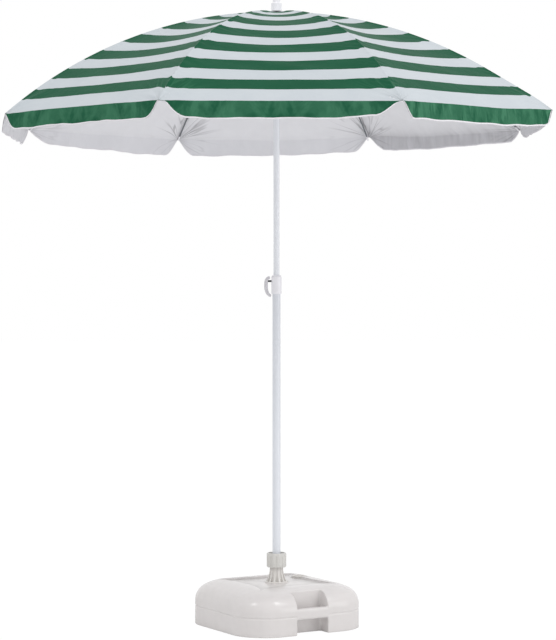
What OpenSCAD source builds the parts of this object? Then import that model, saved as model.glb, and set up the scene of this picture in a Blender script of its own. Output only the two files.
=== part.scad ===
// Patio umbrella with a fillable base: eight ribs, two-part pole with a pull-pin height
// lock, and a blow-moulded tank with two carry grips. Shown open. Millimetres, +Z up,
// origin on the floor at the pole axis, front towards -Y.

/* [Base tank] */
// Radius of each rounded corner of the tank, seen from above
corner_r = 113; // [100:1:130]
// Half the length of the flat between two corners
corner_c = 104; // [90:1:115]
// Height of the raised pads above the floor
tank_h = 137; // [130:1:160]
// Reach of the shoulder, from the side wall to where the top is level
shoulder_w = 98; // [90:1:104]
// Radius of the shoulder's broad upper bend
crown_bend = 150; // [140:1:170]
// Radius of the shoulder's tight lower bend
side_bend = 54; // [48:1:58]
// Wall thickness of the blow moulding
tank_wall = 4; // [3:0.5:5]
// Step from the pads down to the middle of the top
pad_step = 5; // [3:0.5:7]
// Distance from the pole axis to the nearest point of each pad
pad_at = 112; // [108:1:118]
// Radius of each pad's inner edge
pad_r = 418; // [400:1:440]
// Depth of the groove round the tank, above the skirt
groove_d = 2; // [1:0.5:3]
// Height of the groove's lower edge
groove_z = 55; // [50:1:60]
// Height of the groove itself
groove_h = 4; // [3:0.5:5]
// Turn of the carry grips from the front, in degrees
grip_turn = 30; // [0:1:45]

/* [Carry grips] */
// Width of each grip opening
grip_w = 110; // [90:1:120]
// Depth of each grip recess
grip_d = 46; // [40:1:50]
// Corner radius of the recess, at its inner wall
grip_r = 7; // [6:1:12]
// Height of the underside of the grip bar
bar_z = 46; // [42:1:52]
// Height of the bar itself
bar_h = 34; // [28:1:36]
// Thickness of the bar, front to back
bar_t = 20; // [16:1:24]

/* [Filler] */
// Distance of the filler from the pole axis
filler_at = 133; // [128:1:138]
// Turn of the filler from the front, in degrees
filler_turn = 147; // [142:1:154]
// Radius of the filler hole
filler_r = 15; // [12:0.5:18]
// Radius of the cap
cap_r = 21; // [19.5:0.5:23]
// Height of the cap's head
cap_h = 8; // [6:0.5:10]
// Depth of the recess round the cap
cap_well = 9; // [7:0.5:10]
// Finger room round the cap in its recess
cap_room = 4; // [3:0.5:4.5]
// Number of grip notches round the cap
cap_notches = 16; // [10:1:20]

/* [Socket and clamp] */
// Outer radius of the socket tube
socket_r = 17; // [16.5:0.5:19]
// Height of the socket's floor above the ground
socket_floor = 10; // [8:0.5:14]
// Radius of the foot flange on the tank
flange_r = 37; // [35:1:44]
// Thickness of the foot flange
flange_t = 4; // [3:0.5:6]
// Height of the fluted neck above the flange
neck_h = 44; // [36:1:52]
// Radius over the flutes at the foot of the neck
neck_low_r = 32; // [29:0.5:34]
// Radius of the neck between the flutes, at its foot
neck_core_r = 23; // [21:0.5:26]
// Radius over the flutes at the top of the neck
neck_top_r = 20.5; // [20:0.1:21]
// Number of flutes
flutes = 12; // [8:1:16]
// Thickness of each flute
flute_t = 5; // [3:0.5:6]
// Turn of the first flute from the +X side, in degrees
flute_turn = 17; // [0:1:30]
// Length of the threaded stub above the neck
stub_h = 29; // [24:1:34]
// Radius of the stub
stub_r = 21; // [20.8:0.1:22]
// Radius across the corners of the clamp nut
nut_r = 30.5; // [29:0.5:33]
// Height of the clamp nut
nut_h = 44; // [40:1:50]
// Flats round the clamp nut
nut_sides = 10; // [8:1:12]
// Wall of the open collar at the top of the nut
nut_lip = 3.6; // [2.5:0.1:4.5]
// Wall of the collet sleeve
collet_wall = 2.1; // [1.6:0.1:2.3]
// Length of the collet sleeve below its head
collet_l = 42; // [36:1:48]
// Height of the collet's head
collet_head = 4; // [3:0.5:5]
// Height of the cone that closes the collet
cone_h = 12; // [9:1:14]
// How far the cone widens
cone_out = 3; // [2:0.5:3.5]
// Slits in the collet
slits = 6; // [4:1:8]

/* [Pole] */
// Outer radius of the lower tube
lower_r = 12.5; // [12.2:0.1:12.8]
// Outer radius of the upper tube
upper_r = 9.5; // [9:0.1:9.8]
// Wall of both tubes
tube_wall = 1; // [0.8:0.1:1.3]
// Length of the lower tube
lower_l = 1067; // [900:1:1200]
// Length of the upper tube
upper_l = 1200; // [1000:1:1300]
// Length of the upper tube inside the lower one, as set
overlap = 376; // [300:1:400]
// Length of the sliding bush on the upper tube's foot
bush_l = 40; // [30:1:60]
// Pitch of the height holes
hole_pitch = 60; // [50:1:70]
// Height holes above the one in use
holes_above = 2; // [1:1:3]
// Height holes below the one in use
holes_below = 3; // [1:1:4]

/* [Height lock] */
// Outer radius of the collar
collar_r = 16; // [15:0.5:18]
// Length of the collar
collar_l = 58; // [50:1:66]
// How far the collar stands above the lower tube
collar_cap = 10; // [8:0.5:14]
// Radius of the lock pin
pin_r = 3; // [2.5:0.1:3.5]
// Depth of the lock pin below the lower tube's top
pin_down = 8; // [6:0.5:10]
// Outer radius of the pull ring
ring_r = 33; // [31:0.5:36]
// Radius of the finger hole
finger_r = 16.5; // [15:0.5:17.5]
// Thickness of the pull ring
ring_t = 9; // [8:0.5:12]
// How far the lock pin still has to go in before it locks
pin_gap = 3.5; // [3:0.1:4]

/* [Frame] */
// Distance from the pole axis to a rib tip
tip_r = 870; // [700:5:950]
// Radius of the arc that the cloth follows along each rib
rib_arc = 1408; // [1250:1:1700]
// Slope of the cloth where it leaves the hub, in degrees
start_slope = 2.07; // [1:0.01:4]
// Radius of the rib wire
rib_r = 2.1; // [1.8:0.1:2.3]
// Thickness of the flat at each rib's root
plate_t = 2.4; // [2:0.1:3]
// Length of the flat
plate_l = 15; // [12:1:18]
// Depth of the rib's middle line below the top of the cloth
rib_drop = 4.6; // [4.5:0.1:6]
// Radius of the hub
hub_r = 25; // [23:0.5:26]
// Depth of the hub
hub_h = 13; // [11:0.5:15]
// Length of the hub's boss below its disc
hub_boss = 10; // [6:1:14]
// Radius of the ring that the ribs hang on
hub_ring_r = 17; // [16:0.5:18]
// Radius of the hub ring's wire
ring_wire_r = 1.1; // [0.9:0.05:1.2]
// Distance along the rib from the hub ring to the strut clip
clip_at = 300; // [260:1:330]
// Depth of the strut's pivot below the rib
clip_drop = 7; // [6.5:0.1:9]
// Drop from the hub ring to the strut pins on the runner
runner_drop = 238.5; // [220:0.5:260]
// Distance of the strut pins on the runner from the pole axis
runner_pin_r = 26; // [25:0.5:29]
// Width of a strut
strut_w = 8; // [7:0.5:9]
// Depth of a strut
strut_h = 6; // [5:0.5:7]
// Sheet thickness of a strut
strut_t = 1.2; // [1:0.1:1.4]
// Length of the runner's sleeve below the strut pins
runner_skirt = 38; // [30:1:46]
// Outer radius of the runner's sleeve
sleeve_r = 15; // [14:0.5:16]
// Length of each rib tip cap
tip_cap_l = 20; // [14:1:26]
// Wall of each rib tip cap
tip_cap_t = 0.8; // [0.6:0.1:0.9]
// Sheet thickness of each strut clip
clip_t = 0.8; // [0.6:0.05:0.8]
// Length of the tongue at each strut's inner end
tongue_l = 26; // [22:1:32]
// Radius of the runner's flange beyond the strut pins
flange_over = 5.5; // [4.5:0.5:6]
// Height of the runner's flange
runner_flange = 11; // [9.5:0.5:14]

/* [Canopy] */
// Thickness of the cloth
cloth_t = 1; // [0.6:0.1:1.2]
// Drop of the valance below the rim
valance_h = 50; // [30:1:80]
// How far the hem of the valance stands out
valance_flare = 6; // [0:1:12]
// Width of the curved valance corner beside each rib
valance_corner = 56; // [30:1:80]
// Sag of the cloth across the middle of a gore
gore_sag = 16; // [0:1:30]
// Sag of the rim midway between two tips
rim_sag = 4; // [0:1:10]

/* [Finial] */
// Radius of the finial's foot
finial_r = 16.5; // [14:0.5:19]
// Radius of the finial's upper knob
knob_r = 11.5; // [9:0.5:13]
// Height of the finial's foot
finial_foot = 27; // [20:1:34]
// Height of the knob above the foot
knob_h = 24; // [18:1:32]
// Thickness of the crown washer
washer_t = 3; // [2:0.5:4]

/* [Clearances] */
// Gap between pieces that slide or turn
slide_gap = 0.3; // [0.2:0.05:0.4]
// Gap round a hinge pin
pin_fit = 0.15; // [0.1:0.05:0.25]
// Gap between pieces that stay pushed or crimped together
press_gap = 0.05; // [0.03:0.01:0.08]
// Gap between a soft piece and what it rests on
soft_gap = 0.3; // [0.2:0.05:0.5]

/* [Hidden] */
$fn = 64;
RIBS = 8;
GORE = 360 / RIBS;
// Rib numbers, counted anticlockwise from the front as seen from above
SET = [for (k = [1 : RIBS]) k];

// Levels of the base
middle_z = tank_h - pad_step;
facet = corner_c + corner_r;
stub_z = middle_z + flange_t + neck_h;
stub_top = stub_z + stub_h;
nut_z = stub_z + slide_gap;
nut_top = nut_z + nut_h;
filler_x = filler_at * sin(filler_turn);
filler_y = -filler_at * cos(filler_turn);
cap_floor = tank_h - cap_well;
gasket_t = 1.5;
cap_z = cap_floor + soft_gap + gasket_t;

// Levels of the pole
plug_t = 3;
plug_z = socket_floor + slide_gap;
lower_z = plug_z + plug_t;
lower_top = lower_z + lower_l;
upper_z = lower_top - overlap;
upper_top = upper_z + upper_l;
collar_top = lower_top + collar_cap;
collar_z = collar_top - collar_l;
pin_z = lower_top - pin_down;

// Rib arc: its centre and the angles from upright of the points on it
hub_z = upper_top - 1.8;
hub_foot = hub_z - hub_h + 2;
eye_r = rib_r + 0.5;
arc_x = -rib_arc * sin(start_slope);
wire_arc = rib_arc - rib_drop;
hub_angle = asin((hub_ring_r - arc_x) / wire_arc);
arc_z = hub_z - wire_arc * cos(hub_angle);
tip_angle = asin((tip_r - arc_x) / rib_arc);
clip_angle = hub_angle + clip_at / wire_arc * 180 / PI;
function on_arc(radius, angle) = [arc_x + radius * sin(angle), arc_z + radius * cos(angle)];

// Strut pivots in the plane of a rib
strut_out = on_arc(wire_arc - clip_drop, clip_angle);
runner_z = hub_z - runner_drop;
strut_in = [runner_pin_r, runner_z];
strut_l = norm(strut_out - strut_in);
strut_turn = atan2(strut_in.y - strut_out.y, strut_in.x - strut_out.x);
strut_pin_r = 1.5;
tongue_w = 3;
pinch_l = 8;
// Angle from a rib's end back to the end of its wire
tip_back = 3 / wire_arc * 180 / PI;
// Angle at the middle of a rib tip cap, which ends just inside the rim
cap_angle = tip_angle - (tip_cap_l / 2 + 0.5) / wire_arc * 180 / PI;

// Top of the canopy
crown_r = 13;
crown_z = on_arc(rib_arc, asin((crown_r - arc_x) / rib_arc)).y;
washer_z = crown_z + soft_gap;
finial_z = washer_z + washer_t;

module at_rib(k) rotate([0, 0, -90 + GORE / 2 + (k - 1) * GORE]) children();

// A tube or ring, z from its own foot
module sleeve(outer, inner, h) {
    difference() {
        cylinder(r = outer, h = h);
        translate([0, 0, -1]) cylinder(r = inner, h = h + 2);
    }
}

// ---- Base ----

// Half section of the tank at a corner, from its centre out, with or without the groove
module tank_section(r, h, bend, foot) {
    inset = tank_h - h;
    broad = crown_bend - inset;
    tight = side_bend - inset;
    level = r + inset - shoulder_w;
    // Centre of the tight bend, where both bends share one tangent
    in_x = r - tight;
    in_z = h - broad + sqrt(pow(broad - tight, 2) - pow(in_x - level, 2));
    join = atan2(in_x - level, in_z - h + broad);
    difference() {
        union() {
            translate([0, foot]) square([r, in_z - foot]);
            translate([0, foot]) square([level, h - foot]);
            intersection() {
                translate([level, h - broad]) circle(r = broad);
                translate([level, in_z]) polygon([
                    [0, 0], [in_x - level, 0],
                    [in_x - level + broad * sin(join), broad * cos(join)], [0, broad]
                ]);
            }
            intersection() {
                translate([in_x, in_z]) circle(r = tight);
                translate([in_x, in_z]) square(tight + 1);
            }
        }
        if (bend) translate([r - groove_d, groove_z]) square([groove_d + 1, groove_h]);
    }
}

// The tank's outer form, drawn in by the wall when it stands for the hollow
module tank_form(inset = 0) {
    r = corner_r - inset;
    h = tank_h - inset;
    bend = inset == 0;
    for (q = [0 : 3])
        rotate([0, 0, q * 90]) translate([corner_c, corner_c, 0])
            rotate_extrude(angle = 90) tank_section(r, h, bend, inset);
    for (q = [0, 1])
        rotate([90, 0, 90 + q * 90]) linear_extrude(2 * corner_c, center = true) {
            for (m = [0, 1]) mirror([m, 0]) translate([corner_c, 0])
                tank_section(r, h, bend, inset);
            translate([-corner_c, inset]) square([2 * corner_c, h - inset]);
        }
}

// The lower middle of the top, with four pads curving into it
module middle_outline(grow = 0) {
    difference() {
        square(3 * pad_at, center = true);
        for (q = [0 : 3])
            rotate(q * 90) translate([0, -pad_at - pad_r]) circle(r = pad_r - grow);
    }
}

// One grip recess, open through the front, round at its inner corners
module grip_outline(grow = 0) {
    w = grip_w / 2 + grow;
    back = -facet + grip_d + grow;
    translate([-w, -facet - 5]) square([2 * w, facet + 5 + back - grip_r]);
    translate([-w + grip_r, -facet]) square([2 * (w - grip_r), facet + back]);
    for (m = [-1, 1]) translate([m * (w - grip_r), back - grip_r]) circle(r = grip_r);
}

module grip_bar() {
    r = 7;
    rotate([90, 0, 90]) linear_extrude(grip_w + 2, center = true) translate([-facet, bar_z]) {
        translate([0, r]) square([bar_t, bar_h - 2 * r]);
        translate([r, 0]) square([bar_t - 2 * r, bar_h]);
        for (y = [r, bar_t - r], z = [r, bar_h - r]) translate([y, z]) circle(r = r);
    }
}

module base_tank() color("#dedcda") {
    well_r = socket_r + slide_gap;
    rotate([0, 0, grip_turn]) {
        difference() {
            tank_form();
            difference() {
                tank_form(tank_wall);
                translate([0, 0, middle_z - tank_wall]) linear_extrude(tank_h)
                    middle_outline(tank_wall);
                for (q = [0, 180]) rotate([0, 0, q]) linear_extrude(tank_h)
                    grip_outline(tank_wall);
                cylinder(r = well_r + tank_wall, h = tank_h);
                rotate([0, 0, filler_turn - grip_turn])
                    translate([0, -filler_at, cap_floor - tank_wall])
                        cylinder(r = cap_r + cap_room + tank_wall, h = tank_h);
            }
            translate([0, 0, middle_z]) linear_extrude(tank_h) middle_outline();
            for (q = [0, 180]) rotate([0, 0, q]) translate([0, 0, -1])
                linear_extrude(tank_h + 2) grip_outline();
            translate([0, 0, socket_floor - 3]) cylinder(r = well_r, h = tank_h);
            rotate([0, 0, filler_turn - grip_turn]) translate([0, -filler_at, 0]) {
                translate([0, 0, cap_floor]) cylinder(r = cap_r + cap_room, h = tank_h);
                translate([0, 0, cap_floor - tank_wall - 1]) cylinder(r = filler_r, h = tank_h);
            }
        }
        for (q = [0, 180]) rotate([0, 0, q]) grip_bar();
    }
}

// Outline of one flute from the axis out, wide at the foot and drawn in by a curve
module flute_outline() {
    steps = 8;
    wide = neck_low_r - neck_top_r;
    polygon(concat(
        [[socket_r - 2, flange_t - 0.5], [neck_low_r, flange_t - 0.5]],
        [for (i = [0 : steps])
            [neck_top_r + wide * pow(1 - i / steps, 2), flange_t + neck_h * i / steps]],
        [[socket_r - 2, flange_t + neck_h]]
    ));
}

module socket() color("#cfccc8") {
    seat_r = lower_r + slide_gap + collet_wall + slide_gap;
    guide_r = lower_r + 2 * slide_gap;
    seat_h = collet_l + collet_head;
    difference() {
        union() {
            translate([0, 0, socket_floor - 3 + slide_gap])
                cylinder(r = socket_r, h = stub_z - socket_floor + 3 - slide_gap);
            translate([0, 0, middle_z]) {
                cylinder(r = flange_r, h = flange_t - 1);
                cylinder(r1 = flange_r, r2 = neck_low_r, h = flange_t);
                cylinder(r1 = neck_core_r, r2 = neck_top_r - 1.5, h = flange_t + neck_h);
                for (q = [1 : flutes]) rotate([90, 0, flute_turn + q * 360 / flutes])
                    linear_extrude(flute_t, center = true) flute_outline();
            }
            translate([0, 0, stub_z - 1.5]) cylinder(r = stub_r, h = stub_h + 1.5);
        }
        translate([0, 0, socket_floor]) cylinder(r = guide_r, h = tank_h + neck_h + stub_h);
        translate([0, 0, stub_top - seat_h]) cylinder(r = seat_r, h = seat_h + 1);
        translate([0, 0, stub_top - cone_h])
            cylinder(r1 = seat_r, r2 = seat_r + cone_out, h = cone_h + 0.01);
    }
}

module collet() color("#bdb9b4") {
    bore = lower_r + slide_gap;
    outer = bore + collet_wall;
    difference() {
        translate([0, 0, stub_top - collet_l]) {
            cylinder(r = outer, h = collet_l);
            translate([0, 0, collet_l - cone_h])
                cylinder(r1 = outer, r2 = outer + cone_out, h = cone_h);
            translate([0, 0, collet_l - 0.01]) cylinder(r = outer + cone_out, h = collet_head);
        }
        translate([0, 0, stub_top - collet_l - 1]) cylinder(r = bore, h = collet_l + collet_head + 2);
        for (q = [1 : slits]) rotate([0, 0, q * 360 / slits])
            translate([bore - 1, -0.9, stub_top - collet_l + 10]) cube([8, 1.8, collet_l]);
    }
}

module clamp_nut() color("#cbcac6") {
    lip_z = stub_top + collet_head + slide_gap;
    lip_t = 4;
    edge = 2.5;
    throat_r = lower_r + 3;
    scallop_r = 2.2;
    apothem = nut_r * cos(180 / nut_sides);
    difference() {
        intersection() {
            translate([0, 0, nut_z]) cylinder(r = nut_r, h = nut_h, $fn = nut_sides);
            translate([0, 0, nut_z]) union() {
                cylinder(r1 = apothem - 0.5, r2 = nut_r, h = edge);
                translate([0, 0, edge]) cylinder(r = nut_r + 1, h = nut_h - 2 * edge);
                translate([0, 0, nut_h - edge])
                    cylinder(r1 = nut_r, r2 = apothem - 0.5, h = edge);
            }
        }
        translate([0, 0, nut_z - 1]) cylinder(r = stub_r + slide_gap, h = lip_z - nut_z + 1);
        cylinder(r = throat_r, h = nut_top + 1);
        translate([0, 0, lip_z + lip_t]) cylinder(r = apothem - nut_lip, h = nut_h);
        for (q = [1 : nut_sides]) rotate([0, 0, (q + 0.5) * 360 / nut_sides])
            translate([apothem + 0.6, 0, nut_z - 1]) cylinder(r = scallop_r, h = nut_h - 8);
    }
}

module at_filler(z) translate([filler_x, filler_y, z]) children();

module filler_cap() color("#d6d3d0") at_filler(cap_z) {
    difference() {
        union() {
            cylinder(r = cap_r, h = cap_h - 1.5);
            translate([0, 0, cap_h - 1.5]) cylinder(r1 = cap_r, r2 = cap_r - 1.5, h = 1.5);
        }
        for (q = [1 : cap_notches]) rotate([0, 0, q * 360 / cap_notches])
            translate([cap_r + 0.9, 0, -1]) cylinder(r = 1.7, h = cap_h + 2);
        translate([0, 0, cap_h - 1]) cylinder(r = cap_r - 5, h = 2);
    }
    translate([-cap_r + 4, -2, cap_h - 3]) cube([2 * cap_r - 8, 4, 4]);
    translate([0, 0, -11]) sleeve(filler_r - slide_gap, filler_r - 2.5, 11.5);
}

module cap_gasket() color("#3a3a3a") at_filler(cap_floor + soft_gap)
    sleeve(filler_r + 4, filler_r + 0.5, gasket_t);

// ---- Pole ----

module lower_tube() color("#d9dce2") difference() {
    translate([0, 0, lower_z]) sleeve(lower_r, lower_r - tube_wall, lower_l);
    translate([-lower_r, 0, pin_z]) rotate([0, 90, 0])
        cylinder(r = pin_r + 0.2, h = 2 * tube_wall + 2, center = true);
}

module foot_plug() color("#4a4a4c") translate([0, 0, plug_z]) {
    cylinder(r1 = lower_r - 1, r2 = lower_r, h = 1);
    translate([0, 0, 1]) cylinder(r = lower_r, h = plug_t - 1);
    translate([0, 0, plug_t]) sleeve(lower_r - tube_wall - press_gap, lower_r - tube_wall - 2, 18);
}

module height_collar() color("#dcdce2") difference() {
    union() {
        translate([0, 0, collar_z]) cylinder(r1 = collar_r - 1, r2 = collar_r, h = 1);
        translate([0, 0, collar_z + 1]) cylinder(r = collar_r, h = collar_l - 6);
        translate([0, 0, collar_top - 5]) cylinder(r1 = collar_r, r2 = collar_r - 2.5, h = 5);
    }
    translate([0, 0, collar_z - 1])
        cylinder(r = lower_r + press_gap, h = lower_top - collar_z + 1 + press_gap);
    cylinder(r = upper_r + slide_gap, h = collar_top + 1);
    translate([-collar_r, 0, pin_z]) rotate([0, 90, 0])
        cylinder(r = pin_r + pin_fit, h = 12, center = true);
}

// The ring's face in the XZ plane: a bow round the finger hole, slotted round the pin
module ring_face() {
    mid = pin_z - 21;
    difference() {
        translate([-5, mid]) circle(r = ring_r);
        translate([-14, mid - 5.5]) circle(r = finger_r);
        translate([-collar_r - pin_gap - slide_gap, mid - ring_r - 1])
            square([3 * ring_r, 2 * ring_r + 2]);
        translate([-collar_r - 11, pin_z - pin_r - 0.5]) square([ring_r, 2 * pin_r + 1]);
    }
    // The lower arm reaches under the collar, towards the tube
    intersection() {
        difference() {
            translate([-5, mid]) circle(r = ring_r);
            translate([-14, mid - 5.5]) circle(r = finger_r);
        }
        translate([-collar_r - pin_gap - slide_gap - 1, mid - ring_r])
            square([collar_r - lower_r + 0.7, ring_r - (mid - collar_z) - 1]);
    }
}

module pull_ring() color("#cbc8c6") difference() {
    rotate([90, 0, 0]) linear_extrude(ring_t, center = true) ring_face();
    translate([-2 * ring_r, 0, pin_z]) rotate([0, 90, 0])
        cylinder(r = pin_r + 0.02, h = 2 * ring_r);
}

module lock_pin() color("#46474a") translate([-upper_r - slide_gap - 0.2, 0, pin_z])
    rotate([0, -90, 0]) {
        cylinder(r1 = pin_r - 1, r2 = pin_r, h = 1);
        translate([0, 0, 1]) cylinder(r = pin_r, h = 22);
    }

module upper_tube() color("#dde0e6") difference() {
    translate([0, 0, upper_z]) sleeve(upper_r, upper_r - tube_wall, upper_l);
    for (i = [-holes_below : holes_above])
        translate([-upper_r, 0, pin_z + i * hole_pitch]) rotate([0, 90, 0])
            cylinder(r = pin_r + 0.3, h = 2 * tube_wall + 2, center = true);
    translate([-3, upper_r - tube_wall - 1, runner_z - runner_skirt - 30])
        cube([6, tube_wall + 2, 31]);
}

module slide_bush() color("#6c6d70") translate([0, 0, upper_z]) {
    wide = lower_r - tube_wall - slide_gap;
    translate([0, 0, -4]) cylinder(r1 = wide - 1.5, r2 = wide, h = 1.5);
    translate([0, 0, -2.5]) cylinder(r = wide, h = 2.5);
    sleeve(wide, upper_r + press_gap, bush_l);
    translate([0, 0, -1]) cylinder(r = upper_r - tube_wall - press_gap, h = 13);
}

module hub() color("#5b5c5f") difference() {
    union() {
        translate([0, 0, hub_foot]) cylinder(r = hub_r, h = hub_h - 0.5);
        translate([0, 0, hub_foot - hub_boss]) cylinder(r = upper_r + 4, h = hub_boss + 2);
    }
    translate([0, 0, hub_foot - hub_boss - 1])
        cylinder(r = upper_r + press_gap, h = hub_boss + hub_h + 5);
    translate([0, 0, hub_z - ring_wire_r - 0.1])
        sleeve(hub_ring_r + ring_wire_r + 0.1, hub_ring_r - ring_wire_r - 0.1, hub_h);
    for (k = SET) at_rib(k)
        translate([hub_ring_r - eye_r - 1, -plate_t / 2 - slide_gap, hub_foot - 2])
            cube([hub_r, plate_t + 2 * slide_gap, hub_h + 5]);
}

module hub_ring() color("#8d9095") translate([0, 0, hub_z])
    rotate_extrude() translate([hub_ring_r, 0]) circle(r = ring_wire_r, $fn = 24);

// A bent strip inside the upper tube whose nose stands out below the runner
module catch_spring() color("#9aa0a6") {
    nose_z = runner_z - runner_skirt - slide_gap;
    strip_t = 1;
    strip_l = 60;
    back = upper_r - tube_wall - 2 * slide_gap;
    front = upper_r + 4;
    rotate([90, 0, 90]) linear_extrude(4.4, center = true) polygon([
        [back - strip_t, nose_z - strip_l], [back, nose_z - strip_l],
        [back, nose_z - 29], [front, nose_z - 1.5], [front, nose_z],
        [back - 1.4, nose_z], [back - 1.4, nose_z - strip_t],
        [front - 1.4, nose_z - strip_t], [back - strip_t, nose_z - 28]
    ]);
}

module crown_washer() color("#4c5552") translate([0, 0, washer_z])
    sleeve(finial_r + 1, upper_r - 0.8, washer_t);

module finial() color("#dedbde") {
    translate([0, 0, finial_z]) {
        cylinder(r = finial_r, h = finial_foot - 3);
        translate([0, 0, finial_foot - 3]) cylinder(r1 = finial_r, r2 = knob_r + 1, h = 3);
        translate([0, 0, finial_foot]) cylinder(r = knob_r, h = knob_h - knob_r + 3);
        translate([0, 0, finial_foot + knob_h - knob_r + 3]) intersection() {
            sphere(r = knob_r);
            cylinder(r = knob_r + 1, h = knob_r - 3);
        }
    }
    spigot_r = upper_r - tube_wall - press_gap;
    translate([0, 0, upper_top - 30]) cylinder(r = spigot_r, h = finial_z - upper_top + 30.5);
}

// ---- Frame ----

// Seat of one strut pin: a notch that opens down and out, so the pin can leave it
module pin_notch() {
    rotate([90, 0, 0]) linear_extrude(10, center = true) {
        circle(r = strut_pin_r + 0.25);
        rotate(-69) polygon([[0, -1.75], [14, -5], [14, 5], [0, 1.75]]);
    }
}

module runner() color("#e2e2e4") difference() {
    foot_r = sleeve_r + 2.5;
    union() {
        translate([0, 0, runner_z - runner_flange / 2])
            cylinder(r = runner_pin_r + flange_over, h = runner_flange);
        translate([0, 0, runner_z - runner_skirt]) {
            cylinder(r = foot_r, h = 4);
            translate([0, 0, 4]) cylinder(r1 = foot_r, r2 = sleeve_r, h = 5);
            cylinder(r = sleeve_r, h = runner_skirt + 12);
        }
    }
    cylinder(r = upper_r + slide_gap, h = runner_z + 20);
    for (k = SET) at_rib(k) {
        translate([runner_pin_r - 5, -tongue_w / 2 - slide_gap, runner_z - runner_flange])
            cube([20, tongue_w + 2 * slide_gap, 2 * runner_flange]);
        translate([runner_pin_r, 0, runner_z]) pin_notch();
    }
}

module rib(k) color("#6e7275") at_rib(k) {
    start = hub_angle + plate_l / wire_arc * 180 / PI;
    end = tip_angle - tip_back;
    translate([arc_x, 0, arc_z]) rotate([90, 0, 0])
        rotate_extrude(angle = end - start, start = 90 - end, $fn = 200)
            translate([wire_arc, 0]) circle(r = rib_r, $fn = 24);
    translate([hub_ring_r, 0, hub_z]) rotate([0, hub_angle, 0])
        rotate([90, 0, 0]) linear_extrude(plate_t, center = true) difference() {
            union() {
                circle(r = eye_r);
                translate([0, -rib_r]) square([plate_l + 2, 2 * rib_r]);
            }
            circle(r = ring_wire_r + pin_fit);
        }
}

// Places its children at a point on the rib's middle line, X along the rib
module on_rib(k, angle) {
    p = on_arc(wire_arc, angle);
    at_rib(k) translate([p.x, 0, p.y]) rotate([0, angle, 0]) children();
}

module rib_clip(k) color("#b9b8b6") on_rib(k, clip_angle) {
    barrel_r = rib_r + clip_t;
    lug_r = 3.5;
    lug_w = strut_w - 2 * strut_t - 2 * slide_gap;
    difference() {
        union() {
            rotate([0, 90, 0]) cylinder(r = barrel_r, h = 16, center = true);
            translate([-lug_r, -lug_w / 2, -clip_drop]) cube([2 * lug_r, lug_w, clip_drop]);
            translate([0, 0, -clip_drop]) rotate([90, 0, 0])
                cylinder(r = lug_r, h = lug_w, center = true);
        }
        rotate([0, 90, 0]) cylinder(r = rib_r + press_gap, h = 20, center = true);
    }
    translate([0, 0, -clip_drop]) rotate([90, 0, 0]) {
        cylinder(r = strut_pin_r, h = strut_w + 1.4, center = true);
        for (m = [0, 1]) mirror([0, 0, m]) translate([0, 0, strut_w / 2 + slide_gap])
            cylinder(r1 = 2.6, r2 = 1.8, h = 1.2);
    }
}

module rib_tip(k) color("#d8d8d8") on_rib(k, cap_angle) rotate([0, 90, 0])
    translate([0, 0, -tip_cap_l / 2]) difference() {
        union() {
            cylinder(r = rib_r + tip_cap_t, h = tip_cap_l - 1.5);
            translate([0, 0, tip_cap_l - 1.5])
                cylinder(r1 = rib_r + tip_cap_t, r2 = rib_r - 0.4, h = 1.5);
        }
        translate([0, 0, -1]) cylinder(r = rib_r + pin_fit, h = tip_cap_l - 1);
    }

// A pressed channel from the clip to the runner, pinched to a tongue at the inner end
module strut(k) color("#85898c") at_rib(k)
    translate([strut_out.x, 0, strut_out.y]) rotate([0, -strut_turn, 0]) {
        pinch = strut_l - tongue_l;
        half = strut_w / 2;
        difference() {
            for (m = [-1, 1]) translate([0, m * (half - strut_t / 2), 0])
                rotate([90, 0, 0]) linear_extrude(strut_t, center = true) {
                    circle(r = strut_h / 2);
                    translate([0, -strut_h / 2]) square([pinch + 1, strut_h]);
                }
            rotate([90, 0, 0]) cylinder(r = strut_pin_r + pin_fit, h = 20, center = true);
        }
        translate([7, -half, -strut_h / 2]) cube([pinch - 6, strut_w, strut_t]);
        translate([0, 0, -strut_h / 2]) linear_extrude(strut_h) polygon([
            [pinch, -half], [pinch + pinch_l, -tongue_w / 2],
            [pinch + pinch_l + 4, -tongue_w / 2], [pinch + pinch_l + 4, tongue_w / 2],
            [pinch + pinch_l, tongue_w / 2], [pinch, half]
        ]);
        rotate([90, 0, 0]) linear_extrude(tongue_w, center = true) {
            translate([pinch + pinch_l, -strut_h / 2]) square([tongue_l - pinch_l, strut_h]);
            translate([strut_l, 0]) circle(r = strut_h / 2);
        }
        translate([strut_l, 0, 0]) rotate([90, 0, 0])
            cylinder(r = strut_pin_r, h = 9, center = true);
    }

// ---- Canopy ----

// Rows down the rib, columns from one gore's middle over the rib to the next one's
ROWS = 12;
SKIRT = 2;
COLUMNS = 6;
crown_angle = asin((crown_r - arc_x) / rib_arc);

// Share of the way to the next rib, for a column from -COLUMNS to COLUMNS
function across(j, r) =
    pow(abs(j) / COLUMNS, 1.6) * (0.5 - soft_gap / 2 / (2 * r * sin(GORE / 2)));

// Sag across a gore, from the crown (u = 0) to the rim (u = 1)
function sag(u) = gore_sag * sin(180 * u) + rim_sag * u * u;

// Direction out of the gore on one side of the rib, at a slope
function outward(side, slope) =
    [sin(slope) * cos(GORE / 2), side * sin(slope) * sin(GORE / 2), cos(slope)];

// A point of the cloth's top, for a row and column
function cloth_point(i, j) = let (
    u = i / ROWS,
    angle = crown_angle + (tip_angle - crown_angle) * u,
    p = on_arc(rib_arc, angle),
    f = across(j, p.x),
    side = j < 0 ? -1 : 1,
    flat = [p.x * (1 - f + f * cos(GORE)), side * p.x * f * sin(GORE), p.y]
) flat - sag(u) * 4 * f * (1 - f) * outward(side, angle);

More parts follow.
